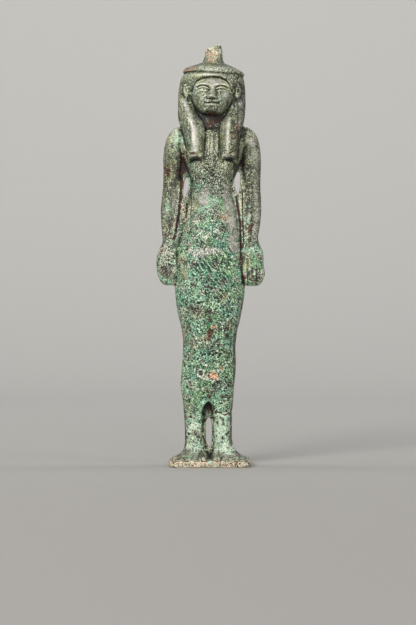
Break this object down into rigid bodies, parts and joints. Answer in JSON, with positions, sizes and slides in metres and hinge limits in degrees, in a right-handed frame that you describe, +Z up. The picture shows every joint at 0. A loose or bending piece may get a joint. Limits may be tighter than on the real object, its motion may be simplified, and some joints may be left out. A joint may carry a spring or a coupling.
{
  "type": "bronze goddess statuette",
  "caption": "Small solid-cast bronze of a standing goddess in a long wig and flat cap, crown broken to a stump, arms at the sides, on a thin foot plate.",
  "frame": {"origin": "centre of the foot plate's underside", "axes": "+Z up along the figure, the figure looks along -Y, +X towards the figure's left"},
  "size_m": [0.0282, 0.018, 0.11],
  "materials": {
    "bronze": "ancient cast bronze under a green and brown mineral crust"
  },
  "bodies": {
    "root": {"statuette": "bronze"}
  },
  "joints": []
}
